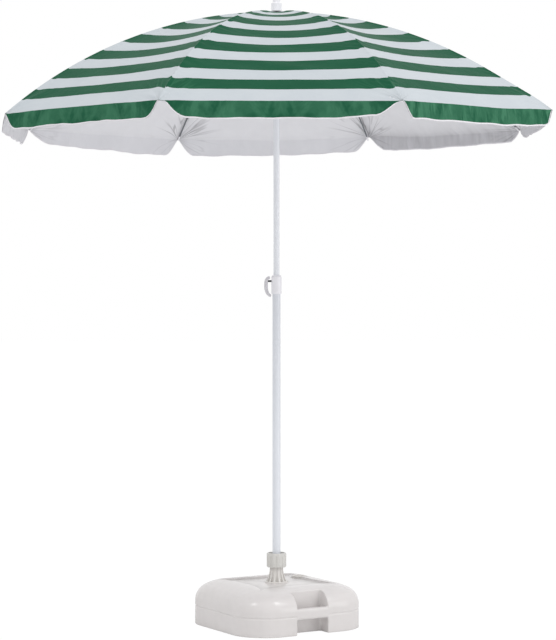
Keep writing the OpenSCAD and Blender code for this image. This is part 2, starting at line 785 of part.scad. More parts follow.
// Height of the valance at a column: it curves down from the rib, then is even
function hem_drop(j) = let (
    along = across(j, tip_r) * 2 * tip_r * sin(GORE / 2),
    near = max(0, 1 - along / valance_corner)
) max(3, valance_h * (1 - near * near));

function valance_point(i, j) = let (
    v = i / SKIRT,
    side = j < 0 ? -1 : 1,
    out = outward(side, 90) * valance_flare * hem_drop(j) / valance_h
) cloth_point(ROWS, j) + v * (out - [0, 0, hem_drop(j)]);

function top_point(i, j) = i <= ROWS ? cloth_point(i, j) : valance_point(i - ROWS, j);

// The underside lies one thickness in from the top
function under_point(i, j) = let (
    side = j < 0 ? -1 : 1,
    slope = i <= ROWS ? crown_angle + (tip_angle - crown_angle) * i / ROWS : 80
) top_point(i, j) - cloth_t * (j == 0 ? [sin(slope), 0, cos(slope)] : outward(side, slope));

// Number of a point in the grid of rows and columns
function cell(i, j) = i * (2 * COLUMNS + 1) + j;

module canopy(k) color("#3f6b52") at_rib(k) {
    m = ROWS + SKIRT;
    n = 2 * COLUMNS;
    size = (m + 1) * (n + 1);
    grid = [for (i = [0 : m], j = [-COLUMNS : COLUMNS]) [i, j]];
    points = concat([for (g = grid) top_point(g[0], g[1])],
                    [for (g = grid) under_point(g[0], g[1])]);
    top = [for (i = [0 : m - 1], j = [0 : n - 1])
        let (a = cell(i, j), b = cell(i + 1, j), c = cell(i + 1, j + 1), d = cell(i, j + 1))
        each [[a, c, b], [a, d, c]]];
    rim = concat([for (j = [0 : n - 1]) cell(0, j)], [for (i = [0 : m - 1]) cell(i, n)],
                 [for (j = [n : -1 : 1]) cell(m, j)], [for (i = [m : -1 : 1]) cell(i, 0)]);
    edge = [for (e = [0 : len(rim) - 1])
        let (a = rim[e], b = rim[(e + 1) % len(rim)])
        each [[a, b + size, b], [a, a + size, b + size]]];
    under = [for (t = top) [t[0] + size, t[2] + size, t[1] + size]];
    polyhedron(points, concat(top, under, edge));
}

base_tank();
socket();
collet();
clamp_nut();
filler_cap();
cap_gasket();
lower_tube();
foot_plug();
height_collar();
lock_pin();
pull_ring();
upper_tube();
slide_bush();
hub();
hub_ring();
catch_spring();
crown_washer();
finial();
runner();
for (k = SET) {
    rib(k);
    rib_clip(k);
    rib_tip(k);
    strut(k);
    canopy(k);
}
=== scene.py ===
import math

import bpy
import numpy as np
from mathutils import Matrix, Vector


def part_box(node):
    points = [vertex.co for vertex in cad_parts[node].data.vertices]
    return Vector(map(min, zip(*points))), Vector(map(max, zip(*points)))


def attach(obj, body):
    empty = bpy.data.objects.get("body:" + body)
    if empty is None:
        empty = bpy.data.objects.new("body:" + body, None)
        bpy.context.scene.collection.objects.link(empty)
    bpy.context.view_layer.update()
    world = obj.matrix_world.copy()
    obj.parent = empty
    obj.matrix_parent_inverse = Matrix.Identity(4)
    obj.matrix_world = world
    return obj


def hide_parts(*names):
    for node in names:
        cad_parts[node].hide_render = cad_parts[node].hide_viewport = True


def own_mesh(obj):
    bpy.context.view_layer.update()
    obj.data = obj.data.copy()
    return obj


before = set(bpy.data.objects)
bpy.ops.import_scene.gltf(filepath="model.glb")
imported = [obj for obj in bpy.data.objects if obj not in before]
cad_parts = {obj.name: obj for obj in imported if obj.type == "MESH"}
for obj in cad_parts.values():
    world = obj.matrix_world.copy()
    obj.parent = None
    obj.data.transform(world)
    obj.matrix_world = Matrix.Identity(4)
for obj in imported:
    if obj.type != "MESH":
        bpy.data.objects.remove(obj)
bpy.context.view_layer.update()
bpy.context.scene.view_settings.view_transform = "Standard"


# ---- Base tank ----
# A hollow tank that holds the umbrella down when it is filled with water or sand. It is
# blow moulded from off-white polyethylene, so every edge is soft and the walls are
# slightly wavy, and its two carry grips are part of the same moulding.

def linear(colour):
    """An sRGB hex colour as the linear RGBA that a shader socket takes."""
    parts = [int(colour[i:i + 2], 16) / 255 for i in (1, 3, 5)]
    return [c / 12.92 if c <= 0.04045 else ((c + 0.055) / 1.055) ** 2.4 for c in parts] + [1]


def add_node(tree, kind, values=None, links=None, **settings):
    """Adds a node, sets its options and its sockets' values, and links its inputs."""
    node = tree.nodes.new(kind)
    for name, value in settings.items():
        setattr(node, name, value)
    for socket, value in (values or {}).items():
        node.inputs[socket].default_value = value
    for socket, source in (links or {}).items():
        tree.links.new(source, node.inputs[socket])
    return node


def new_finish(name, values):
    """A material named for what it is, with its node tree and its surface shader."""
    material = bpy.data.materials.new(name)
    material.use_nodes = True
    shader = material.node_tree.nodes["Principled BSDF"]
    for socket, value in values.items():
        shader.inputs[socket].default_value = value
    return material, material.node_tree, shader


def mottle(tree, shader, light, dark, patch, grain, depth, ripple=0, ripple_depth=0):
    """Cloudy colour in patches, with a fine grain and a wide ripple in the surface (metres)."""
    place = add_node(tree, "ShaderNodeTexCoord").outputs["Object"]
    cloud = add_node(tree, "ShaderNodeTexNoise", {"Scale": 1 / patch, "Detail": 4},
                     {"Vector": place})
    tone = add_node(tree, "ShaderNodeMix", {6: linear(light), 7: linear(dark)},
                    {0: cloud.outputs["Fac"]}, data_type="RGBA")
    tree.links.new(tone.outputs[2], shader.inputs["Base Color"])
    fine = add_node(tree, "ShaderNodeTexNoise", {"Scale": 1 / grain, "Detail": 2},
                    {"Vector": place})
    bump = add_node(tree, "ShaderNodeBump", {"Strength": 1, "Distance": depth},
                    {"Height": fine.outputs["Fac"]})
    if ripple:
        wave = add_node(tree, "ShaderNodeTexNoise", {"Scale": 1 / ripple, "Detail": 1},
                        {"Vector": place})
        bump = add_node(tree, "ShaderNodeBump", {"Strength": 1, "Distance": ripple_depth},
                        {"Height": wave.outputs["Fac"], "Normal": bump.outputs["Normal"]})
    tree.links.new(bump.outputs["Normal"], shader.inputs["Normal"])
    return place


def finish_node(material, *names):
    """Puts a material on CAD nodes."""
    for name in names:
        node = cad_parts[name]
        node.data.materials.clear()
        node.data.materials.append(material)


# Blown polyethylene: satin, a little waxy, with broad soft ripples in the wall
polyethylene, tree, shader = new_finish(
    "polyethylene, blow moulded", {"Roughness": 0.23, "IOR": 1.51})
place = mottle(tree, shader, "#e0dcdb", "#d6d2d1", patch=0.09, grain=0.0014, depth=0.00005,
               ripple=0.06, ripple_depth=0.0035)

# The four pads on top curve down into the middle, and shade is painted below their edges
PAD_AT = 0.112           # metres, how near the pole's axis the edge of a pad comes
PAD_R = 0.418            # metres, radius of the circle that a pad's edge follows
PAD_SLOPE = 0.003        # metres, half the width of the edge
SHADE_REACH = (0.012, 0.05)      # metres from the edge, where the painted shade thins out and ends
SHADE_STRENGTH = 0.45              # how dark the painted shade below the pads and in the nooks makes the plastic
GRIP_TURN = 30           # degrees, how far the tank is turned round the pole
flat_place = add_node(tree, "ShaderNodeVectorMath", {1: (1, 1, 0)}, {0: place},
                      operation="MULTIPLY").outputs[0]
nearest = None
for q in range(4):
    turn = math.radians(GRIP_TURN - 90 + 90 * q)
    centre = ((PAD_AT + PAD_R) * math.cos(turn), (PAD_AT + PAD_R) * math.sin(turn), 0)
    reach = add_node(tree, "ShaderNodeVectorMath", {1: centre}, {0: flat_place},
                     operation="DISTANCE").outputs["Value"]
    if nearest:
        reach = add_node(tree, "ShaderNodeMath", links={0: nearest, 1: reach},
                         operation="MINIMUM").outputs[0]
    nearest = reach
below_pads = add_node(tree, "ShaderNodeMapRange", {1: PAD_R - PAD_SLOPE, 2: PAD_R + PAD_SLOPE},
                      {0: nearest}).outputs[0]
thinning = add_node(tree, "ShaderNodeMapRange",
                    {1: PAD_R + SHADE_REACH[0], 2: PAD_R + SHADE_REACH[1], 3: 1.0, 4: 0.0},
                    {0: nearest}).outputs[0]
pad_shade = add_node(tree, "ShaderNodeMath", links={0: below_pads, 1: thinning},
                operation="MULTIPLY").outputs[0]
# Shade is painted in the narrow nooks too, from the ambient occlusion there, a fifth as dark
nook = add_node(tree, "ShaderNodeAmbientOcclusion", {"Distance": 0.02}, samples=8).outputs["AO"]
deep = add_node(tree, "ShaderNodeMapRange", {1: 0.3, 2: 0.9, 3: 0.2, 4: 0.0}, {0: nook}).outputs[0]
tank_shade = add_node(tree, "ShaderNodeMath", links={0: pad_shade, 1: deep}, operation="MAXIMUM").outputs[0]
tank_shade = add_node(tree, "ShaderNodeMath", {1: SHADE_STRENGTH}, {0: tank_shade}, operation="MULTIPLY").outputs[0]
# painted shade: the plastic's colour is darkened towards #8f8b88 below the pads and in the nooks
tone = shader.inputs["Base Color"].links[0].from_socket
shaded_tone = add_node(tree, "ShaderNodeMix", {7: linear("#8f8b88")}, {0: tank_shade, 6: tone},
                 data_type="RGBA")
tree.links.new(shaded_tone.outputs[2], shader.inputs["Base Color"])
finish_node(polyethylene, "base_tank")

# Blow moulding leaves no sharp edge, so the tank's mesh is rounded all over
SOFT_VOXEL = 0.0019      # metres, the step at which it is rounded
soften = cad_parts["base_tank"].modifiers.new("blown edges", "REMESH")
soften.mode, soften.voxel_size, soften.use_smooth_shade = "VOXEL", SOFT_VOXEL, True
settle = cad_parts["base_tank"].modifiers.new("settled", "SMOOTH")
settle.factor, settle.iterations = 0.5, 2


# ---- Socket, collet and clamp nut ----
# The fluted neck and its inner tube are one injection moulding in polypropylene, pushed
# into the tank's well. A slit sleeve inside it grips the pole when the ten-sided nut
# is screwed down over its cone.

# Injection moulded polypropylene: a plain satin off-white, harder in its edges than the tank
polypropylene, tree, shader = new_finish(
    "polypropylene, injection moulded", {"Roughness": 0.36, "IOR": 1.49})
mottle(tree, shader, "#e4e1de", "#d9d6d2", patch=0.03, grain=0.0009, depth=0.00004)
finish_node(polypropylene, "socket", "collet")

# The nut's polypropylene is spark-textured for the hand, so it looks matt and greyer
nut_polypropylene, tree, shader = new_finish(
    "polypropylene, textured", {"Roughness": 0.5, "IOR": 1.49})
mottle(tree, shader, "#dbdad6", "#d0ceca", patch=0.02, grain=0.0007, depth=0.00008)
finish_node(nut_polypropylene, "clamp_nut")


# ---- Filler cap ----
# A notched screw cap closes the hole that the water goes in by, and sits on a rubber
# gasket in a round recess at the back of the tank's top.

finish_node(polypropylene, "filler_cap")

# Moulded rubber: nearly black and quite matt
black_rubber, tree, shader = new_finish("rubber, moulded", {"Roughness": 0.8, "IOR": 1.52})
mottle(tree, shader, "#3b3b3b", "#2c2c2c", patch=0.01, grain=0.0006, depth=0.00005)
finish_node(black_rubber, "cap_gasket")


# ---- Lower pole ----
# A 25 mm steel tube with a white powder coat, a plug in its foot, and a moulded collar
# on its top that the upper tube slides in.

# Powder coat: a white, satin skin with a faint orange peel, so reflections are soft
powder_coat, tree, shader = new_finish(
    "steel, white powder coat", {"Roughness": 0.3, "IOR": 1.5, "Coat Weight": 0.25,
                                 "Coat Roughness": 0.18})
mottle(tree, shader, "#e4e7ed", "#dcdfe6", patch=0.2, grain=0.0016, depth=0.00003)
finish_node(powder_coat, "lower_tube")

# Moulded nylon: dark grey, with a dull satin surface
dark_nylon, tree, shader = new_finish("nylon, moulded dark grey", {"Roughness": 0.48, "IOR": 1.53})
mottle(tree, shader, "#5f6063", "#505154", patch=0.015, grain=0.0007, depth=0.00005)
finish_node(dark_nylon, "foot_plug")

# White ABS: a smooth, fairly glossy moulding, the whitest of the plastics
white_abs, tree, shader = new_finish("ABS, white, moulded", {"Roughness": 0.27, "IOR": 1.54})
mottle(tree, shader, "#f8f7fb", "#efeef3", patch=0.02, grain=0.001, depth=0.00002)
finish_node(white_abs, "height_collar")


# ---- Height lock ----
# A blackened steel pin goes through the collar into a hole in the upper tube. It is
# pulled out by a flat loop of acetal that is moulded round its head and is open
# towards the collar.

# Blackened steel: a dark metal that still shines a little along its edge
blackened_steel, tree, shader = new_finish(
    "steel, blackened", {"Roughness": 0.4, "Metallic": 1.0})
mottle(tree, shader, "#4a4b4e", "#38393c", patch=0.006, grain=0.0006, depth=0.00003)
finish_node(blackened_steel, "lock_pin")

# Natural acetal: milky and waxy, a shade greyer than the collar
acetal, tree, shader = new_finish("acetal, natural, moulded", {"Roughness": 0.34, "IOR": 1.48})
mottle(tree, shader, "#dddbe0", "#d2d0d5", patch=0.01, grain=0.0008, depth=0.00002)

# Where the loop's middle line runs, sideways and up from the pin's axis, and half the
# loop's width there, in millimetres
RING = [(-19.9, 11.2, 4.4), (-25, 10.0, 4.6), (-30, 5.6, 5.1), (-32.2, -3, 5.6), (-32.6, -16, 5.7),
        (-31.4, -28, 5.4), (-27.5, -38, 4.9), (-22, -43.9, 4.4), (-16.8, -46.0, 4.2)]
RING_THICK = 9.0         # millimetres, across the flat loop
RING_END = 1.8           # millimetres, length of each rounded end
RING_BULGE = 0.6         # 1 makes the section an ellipse, and less makes it squarer
RING_STEPS = 12          # rings of points from one place in the list to the next
RING_AROUND = 28         # points in each ring


def loop_line():
    """A smooth curve through the places in RING, as points with their half widths."""
    places = np.array([RING[0]] + RING + [RING[-1]], float)
    t = (np.arange(RING_STEPS) / RING_STEPS)[:, None]
    stretches = [0.5 * (2 * b + (c - a) * t + (2 * a - 5 * b + 4 * c - d) * t ** 2
                        + (3 * b - a - 3 * c + d) * t ** 3)
                 for a, b, c, d in zip(places, places[1:], places[2:], places[3:])]
    return np.concatenate(stretches + [places[-1:]])


def loop_rings():
    """Rings of points round the loop's middle line, in metres, that close in at its ends."""
    line = loop_line()
    middle, half_width = line[:, :2], line[:, 2]
    run = np.concatenate([[0], np.cumsum(np.hypot(*np.diff(middle, axis=0).T))])
    from_end = np.clip(np.minimum(run, run[-1] - run) / RING_END, 0.02, 1)
    rounded = np.sqrt(1 - (1 - from_end) ** 2)
    way = np.gradient(middle, axis=0)
    way /= np.linalg.norm(way, axis=1, keepdims=True)
    turn = 2 * math.pi * np.arange(RING_AROUND) / RING_AROUND
    flat = np.abs(np.cos(turn)) ** RING_BULGE * np.sign(np.cos(turn))
    deep = np.abs(np.sin(turn)) ** RING_BULGE * np.sign(np.sin(turn))
    wide = (half_width * rounded)[:, None] * flat
    x = middle[:, :1] - way[:, 1:] * wide
    z = middle[:, 1:] + way[:, :1] * wide
    y = (0.5 * RING_THICK * rounded)[:, None] * deep
    pin_lo, pin_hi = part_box("lock_pin")
    return np.stack([x, y, z], -1) / 1000 + [0, 0, (pin_lo[2] + pin_hi[2]) / 2]


rings = loop_rings()
number = np.arange(rings.shape[0] * RING_AROUND).reshape(-1, RING_AROUND)
after = np.roll(number, -1, axis=1)
faces = np.stack([number[:-1], number[1:], after[1:], after[:-1]], -1).reshape(-1, 4).tolist()
faces += [number[0].tolist(), number[-1, ::-1].tolist()]
ring_mesh = bpy.data.meshes.new("pull_ring_loop")
ring_mesh.from_pydata(rings.reshape(-1, 3).tolist(), [], faces)
ring_mesh.polygons.foreach_set("use_smooth", np.ones(len(faces), bool))
ring_mesh.materials.append(acetal)
loop = bpy.data.objects.new("pull_ring_loop", ring_mesh)
bpy.context.scene.collection.objects.link(loop)
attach(loop, "height_lock")
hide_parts("pull_ring")


# ---- Upper pole ----
# A 19 mm steel tube, coated glossier than the lower one and painted whiter against the canopy's
# shade, that slides in it on a nylon bush and carries the hub on its top.

# Gloss powder coat: smoother, with a clear bright line along the tube, and painted whiter than the
# lower coat to lift the shade that the canopy casts on it
whitened_gloss_coat, tree, shader = new_finish(
    "steel, white gloss powder coat", {"Roughness": 0.2, "IOR": 1.5, "Coat Weight": 0.3,
                                       "Coat Roughness": 0.1})
mottle(tree, shader, "#f1f3f8", "#e9ecf1", patch=0.2, grain=0.0016, depth=0.00002)
finish_node(whitened_gloss_coat, "upper_tube")
finish_node(dark_nylon, "slide_bush")


# ---- Frame ----
# Eight galvanised rib wires hang on a wire ring in the nylon hub. Pressed steel struts
# join them to the runner, held on by spring-steel clips, and a white cap ends each rib.

RIBS = 8


def each_rib(piece):
    """The names of a piece that every rib has, from the first rib to the last."""
    return [f"{piece}_{k}" for k in range(1, RIBS + 1)]


# Galvanised steel: dull grey metal, mottled by its zinc
galvanised, tree, shader = new_finish(
    "steel, galvanised", {"Roughness": 0.42, "Metallic": 1.0})
mottle(tree, shader, "#8f9498", "#74797d", patch=0.012, grain=0.0008, depth=0.00004)
finish_node(galvanised, "hub_ring", *each_rib("rib"), *each_rib("strut"))

# Spring steel with a bright zinc plate, smoother and paler than the wires
spring_steel, tree, shader = new_finish(
    "spring steel, zinc plated", {"Roughness": 0.3, "Metallic": 1.0})
mottle(tree, shader, "#b9bbbd", "#a3a6a9", patch=0.008, grain=0.0006, depth=0.00002)
finish_node(spring_steel, "catch_spring", *each_rib("rib_clip"))

finish_node(dark_nylon, "hub")
finish_node(white_abs, "runner", *each_rib("rib_tip"))


# ---- Canopy ----
# Eight gores of striped polyester with a silver-coated underside, sewn to each other
# along the ribs and bound in white tape at the hem of the valance. The cloth is
# stretched by the ribs, so it sags a little across each gore and puckers at the seams.

# Gore g, from 0, lies between rib g + 1 and the next. Sizes are in metres if they don't
# say otherwise.
FIRST_RIB = -67.5        # degrees, where rib 1 points
PITCH = 2 * math.pi / RIBS
CLOTH = 0.0009           # thickness of the coated cloth
TAPE = 0.0042            # width of the binding tape
TAPE_PROUD = 0.0005      # how far the tape stands out of the cloth
ARC = 1.408              # radius of the arc that the cloth follows along a rib
ARC_BEYOND = 0.050858    # how far the arc's centre lies beyond the pole
CROWN_R, RIM_R = 0.013, 0.870
VALANCE = 0.050
HALF = 26                # columns of points from a rib to the middle of a gore
DOME_ROWS = 150
# Rows of the valance between its top and its tape, as shares of that depth
VALANCE_ROWS = (0, 0.07, 0.15, 0.24, 0.33, 0.42, 0.52, 0.62, 0.72, 0.82, 0.92, 1)

crown_angle = math.asin((CROWN_R + ARC_BEYOND) / ARC)
rim_angle = math.asin((RIM_R + ARC_BEYOND) / ARC)
crown_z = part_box("canopy_1")[1][2]
arc_z = crown_z - ARC * math.cos(crown_angle)
chord_at_rim = 2 * RIM_R * math.sin(PITCH / 2)

# Widths of the stripes from the rim up to the crown, in millimetres along the cloth
STRIPES = [57, 53, 57, 62, 59, 65, 62, 74, 62, 78, 62, 54, 62, 64, 66]
edge_at = 1 - np.concatenate([[0], np.cumsum(STRIPES)]) / sum(STRIPES)
# How far each gore's stripes miss its two neighbours', in stripe widths
SLIP = [(-0.16, -0.34), (-0.06, -0.1), (0.05, 0.0), (0.0, 0.06), (0.07, 0.02), (-0.04, -0.1),
        (-0.16, -0.12), (-0.02, -0.04)]

# Relief of the cloth. Each kind has its depth and how far from its seam or tip it dies away
GORE_SAG = 0.016         # between the ribs, halfway down
PUCKER, PUCKER_REACH = 0.0014, 0.028        # puckers along a seam
RIDGE, RIDGE_REACH = 0.0011, 0.0035         # the edges of the two gores in the seam
CREASE, CREASE_REACH = 0.0030, 0.075        # creases that fan out from a rib tip
RIPPLE = 0.0007          # slack ripples across a gore
# Sag of the rim midway between two ribs, in millimetres, under 0 where it is blown out
RIM_SAG = [-4, 2, 3, 3, 2, 2, -3, 1.5]
# How far the cloth stands off two of the ribs at their tips, in millimetres, by rib
LIFT = {2: 12, 4: 9}
LIFT_REACH = (0.16, 0.12)       # along the rim and up the rib

# How each gore's valance was cut: at each end, the gap beside the rib and the width of
# the corner in millimetres, and how much the corner starts level before it dives
CUT = [((8, 42, 0.1), (3, 42, 0.0)), ((0, 120, 0.0), (0, 120, 0.0)),
       ((3, 44, 0.0), (2, 70, 0.2)), ((2, 46, 0.3), (2, 56, 0.2)),
       ((2, 62, 0.1), (0, 105, 0.0)), ((3, 60, 0.0), (3, 44, 0.0)),
       ((2, 54, 0.0), (5, 40, 0.0)), ((18, 62, 0.0), (4, 74, 0.7))]
# How deep a gore's valance hangs from its one end to its other, in shares of VALANCE
HANG = {1: (0.6, 0.6), 2: (0.7, 0.95), 3: (0.97, 1.15), 4: (1.22, 0.8),
        7: (1, 1, 1, 1, 1, 1, 0.98, 0.84, 0.95)}
# How far each hem stands out from the rim, in millimetres
FLARE = [6, 6, 6, 6, 6, 16, 6, 6]
# Gathers in each valance: how deep the fine and the broad folds are, in millimetres
FOLDS = [(3.2, 3.0), (2.5, 4.0), (3.4, 4.0), (1.0, 3.0), (1.2, 3.0), (2.0, 5.0), (1.0, 4.5),
         (0.8, 5.5)]


def rib_turn(k):
    """The direction of rib k, from 1, as an angle round the pole."""
    return math.radians(FIRST_RIB + 360 / RIBS * (k - 1))


def waves(x, count, short, long, seed):
    """A smooth random wave along x, made of a few sines from long to short."""
    dice = np.random.default_rng(seed)
    total = np.zeros_like(x)
    for _ in range(count):
        length = short * (long / short) ** dice.random()
        total += np.sin(2 * math.pi * (x / length + dice.random())) * (length / long) ** 0.5
    return total / count ** 0.5


def relief(g, u, a, side, below, chord):
    """How far the cloth of gore g lies under the flat facet between its ribs, and how
    puckered it is, at the shares u down the gore and a across it."""
    first = a < 0.5
    middle = 4 * a * (1 - a)
    sag = (GORE_SAG * np.sin(math.pi * u) + 0.001 * RIM_SAG[g] * u * u) * middle
    # puckers 14 to 45 mm apart, which slant away from each seam
    pucker = np.where(first, waves(below + 0.6 * side, 6, 0.014, 0.045, 40 + g),
                      waves(below - 0.5 * side, 6, 0.014, 0.045, 60 + g))
    pucker *= np.exp(-side / PUCKER_REACH) * np.clip(side / 0.003, 0, 1) * np.clip(u * 6, 0, 1)
    sag += PUCKER * pucker
    # the seam's two edges are folded up along the rib
    sag -= RIDGE * np.exp(-(side / RIDGE_REACH) ** 2) * np.clip(u * 12, 0, 1)

    # two or three creases in each quarter turn about a rib tip
    reach = np.hypot(side, below)
    fan = np.arctan2(below, side) + 0.1 * waves(reach, 3, 0.1, 0.3, 90 + g)
    fold = np.where(first, np.sin(8 * fan + 1.3 * g), np.sin(9.5 * fan + 2.1 * g))
    crease = np.sign(fold) * np.abs(fold) ** 1.5
    crease *= np.clip(reach / 0.03, 0, 1) * np.clip(side / 0.012, 0, 1)
    sag += CREASE * crease * np.exp(-reach / CREASE_REACH)

    # ripples 50 to 160 mm apart that cross the gore a little aslant
    across = (a - 0.5) * chord[:, None]
    slack = waves(below + 0.35 * across, 4, 0.05, 0.16, 80 + g)
    sag += RIPPLE * slack * middle * np.clip(u * 3, 0, 1)
    return sag, pucker


def hem_drop(g, width, first):
    """How far the valance hangs at a distance from the rib at one end of gore g."""
    gap, corner, level = CUT[g][0 if first else 1]
    t = np.clip((width - gap / 1000) / (corner / 1000), 0, 1)
    round_cut = 1 - (1 - t) ** 2
    return np.maximum(0.0012, VALANCE * (round_cut + level * (t * t * (3 - 2 * t) - round_cut)))


def valance(g, a, rim, mid):
    """Rows of points that hang from the rim of gore g, and how far below it each lies."""
    width = np.minimum(a, 1 - a) * chord_at_rim
    along = (a - 0.5) * chord_at_rim
    drop = np.where(a < 0.5, hem_drop(g, width, True), hem_drop(g, width, False))
    hang = HANG.get(g, (1, 1))
    drop = drop * np.interp(a, np.linspace(0, 1, len(hang)), hang)
    uneven = waves(along, 4, 0.05, 0.25, 140 + g) * np.clip(width / 0.08, 0, 1)
    drop = drop * (1 + 0.035 * uneven)
    tape = np.minimum(TAPE, drop * 0.35)
    top = np.minimum(0.002, drop * 0.2)
    levels = [top + (drop - tape - top) * f for f in VALANCE_ROWS]
    levels = np.stack(levels + [drop - 0.96 * tape, drop - 0.06 * tape, drop])

    fine, broad = FOLDS[g]
    folds = fine * waves(along, 7, 0.014, 0.04, 100 + g) + broad * waves(along, 3, 0.08, 0.3, 120 + g)
    folds = 0.001 * folds * np.clip(width / 0.03, 0, 1)
    skew = 0.35 * broad / 5          # the folds run aslant as they go down
    hung = []
    for level in levels:
        depth = level / VALANCE
        lean = np.interp(along - skew * level, along, folds)
        out = 0.001 * FLARE[g] * depth + lean * depth ** 1.2
        hung.append(rim + mid * out[:, None] - np.array([0, 0, 1]) * level[:, None])
    return np.stack(hung), levels


def gore_points(g):
    """Points of gore g from crown to hem and from its first rib to its second, and at
    each the stripe, the distances from the seam and above the rim, and how gathered it is."""
    share = 0.5 * (np.arange(HALF + 1) / HALF) ** 1.6     # closer together near the ribs
    a = np.concatenate([share, 1 - share[-2::-1]])
    u = np.concatenate([np.linspace(0, 0.99, DOME_ROWS), [0.996, 1.0]])
    angle = crown_angle + (rim_angle - crown_angle) * u
    from_pole = ARC * np.sin(angle) - ARC_BEYOND
    turn = rib_turn(g + 1)
    e0 = np.array([math.cos(turn), math.sin(turn), 0])
    e1 = np.array([math.cos(turn + PITCH), math.sin(turn + PITCH), 0])
    mid = (e0 + e1) / np.linalg.norm(e0 + e1)
    up = np.array([0, 0, 1])
    U, A = np.meshgrid(u, a, indexing="ij")
    dome = from_pole[:, None, None] * (e0 + (e1 - e0) * A[:, :, None])
    dome[:, :, 2] += (arc_z + ARC * np.cos(angle))[:, None]
    normal = (np.sin(angle)[:, None] * mid + np.cos(angle)[:, None] * up)[:, None, :]

    chord = from_pole * 2 * math.sin(PITCH / 2)
    side = np.minimum(A, 1 - A) * chord[:, None]
    below = (rim_angle - angle)[:, None] * ARC + 0 * A
    sag, pucker = relief(g, U, A, side, below, chord)
    dome = dome - normal * sag[:, :, None]
    stands_off = np.where(A < 0.5, LIFT.get(g + 1, 0), LIFT.get((g + 1) % RIBS + 1, 0)) / 1000
    lift = stands_off * np.exp(-(side / LIFT_REACH[0]) ** 2 - (below / LIFT_REACH[1]) ** 2)
    dome = dome + (up + 0.6 * mid) * lift[:, :, None]     # up and a little out
    hung, levels = valance(g, a, dome[-1], mid)
    grid = np.concatenate([dome, hung])

    # the stripe's number from the rim up, pulled about by the puckers, and under 0 on the valance
    stripe = np.interp(-U, -edge_at, np.arange(len(edge_at)))
    slip = SLIP[g][0] + (SLIP[g][1] - SLIP[g][0]) * A
    stripe = stripe + (slip + 0.06 * pucker) * np.clip(stripe, 0, 1)
    stripe = np.concatenate([stripe, -0.02 - levels / VALANCE])
    width = np.minimum(a, 1 - a) * chord_at_rim
    seam = np.concatenate([side, np.repeat(width[None], len(levels), 0)])
    above = np.concatenate([below, -levels])
    # how far the cloth is gathered, from 0 to 1: in a slack valance and beside a seam
    slack = FOLDS[g][0] / max(fine for fine, broad in FOLDS)
    gathered = slack ** 2 * np.exp(-np.maximum(above, 0) / 0.03)
    gathered += 0.5 * np.exp(-(seam / 0.025) ** 2 - np.maximum(above, 0) / 0.25)
    return grid, stripe, seam, above, np.clip(gathered, 0, 1)


def grid_normals(grid):
    """Unit normals of a grid, from its own slopes."""
    down, across = np.gradient(grid, axis=0), np.gradient(grid, axis=1)
    n = np.cross(down, across)
    return n / np.linalg.norm(n, axis=2, keepdims=True)


gores = [gore_points(g) for g in range(RIBS)]
slopes = [grid_normals(g[0]) for g in gores]
for g in range(RIBS):
    shared = slopes[g - 1][:, -1] + slopes[g][:, 0]
    shared /= np.linalg.norm(shared, axis=1, keepdims=True)
    slopes[g - 1][:, -1] = slopes[g][:, 0] = shared


